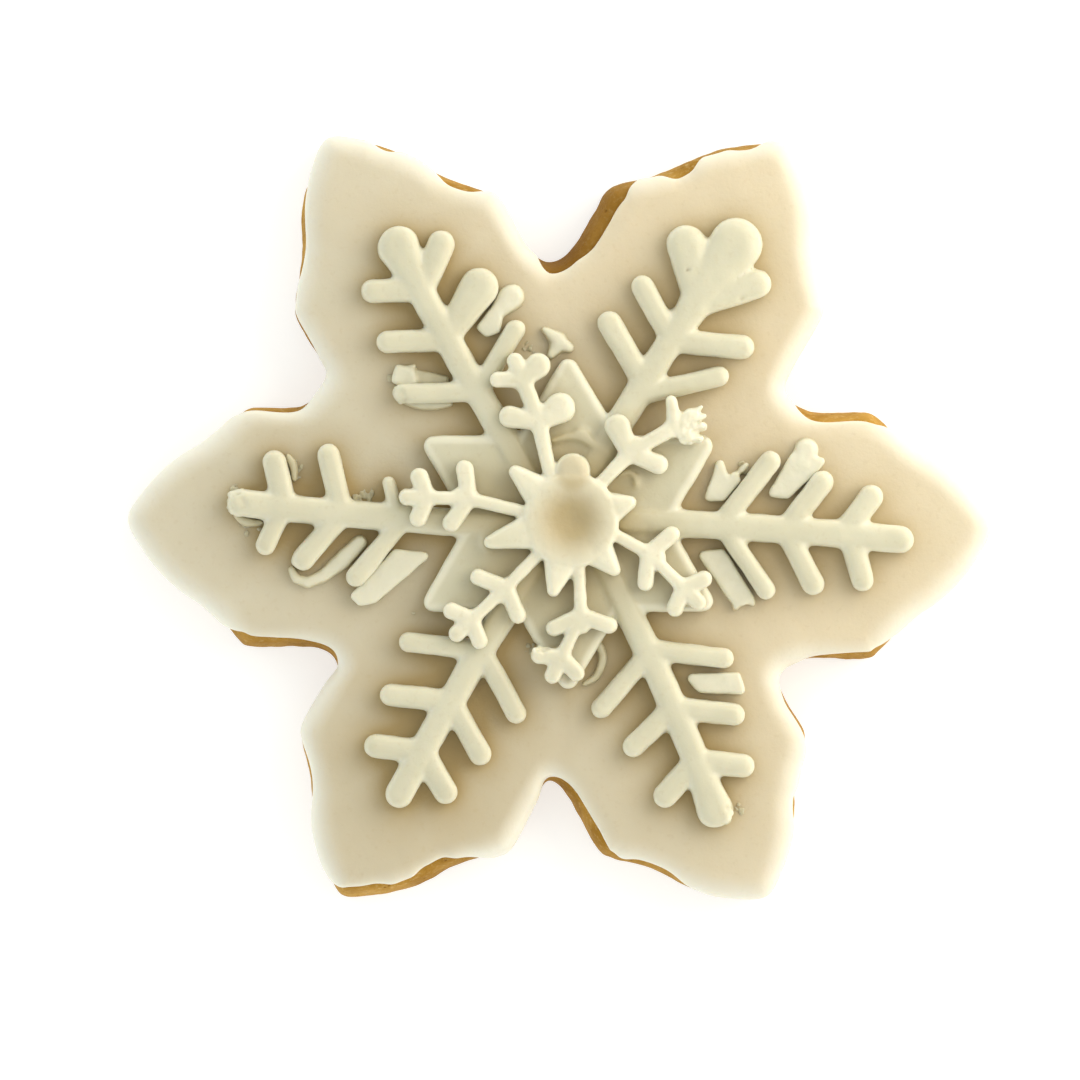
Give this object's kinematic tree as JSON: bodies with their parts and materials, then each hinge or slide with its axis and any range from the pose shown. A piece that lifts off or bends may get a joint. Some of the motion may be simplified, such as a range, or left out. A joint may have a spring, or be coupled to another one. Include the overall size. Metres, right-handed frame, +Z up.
{
  "type": "dog biscuit",
  "caption": "Snowflake-shaped baked dog biscuit with a poured cream coating, a large moulded snowflake and a small snowflake on top.",
  "frame": {"origin": "middle of the biscuit's bounding box, on its underside", "axes": "+X along the longest span through two opposite arms, +Z up out of the decorated top"},
  "size_m": [0.0904, 0.0799, 0.0134],
  "materials": {
    "baked_crust": "baked dough, golden brown, dry and finely pored",
    "poured_coating": "satin off-white confectionery coating",
    "moulded_large_flake": "satin cream confectionery coating, moulded",
    "moulded_small_flake": "satin pale cream confectionery coating, moulded"
  },
  "bodies": {
    "root": {"biscuit": "baked_crust", "coating": "poured_coating", "large_flake": "moulded_large_flake", "small_flake": "moulded_small_flake"}
  },
  "joints": []
}
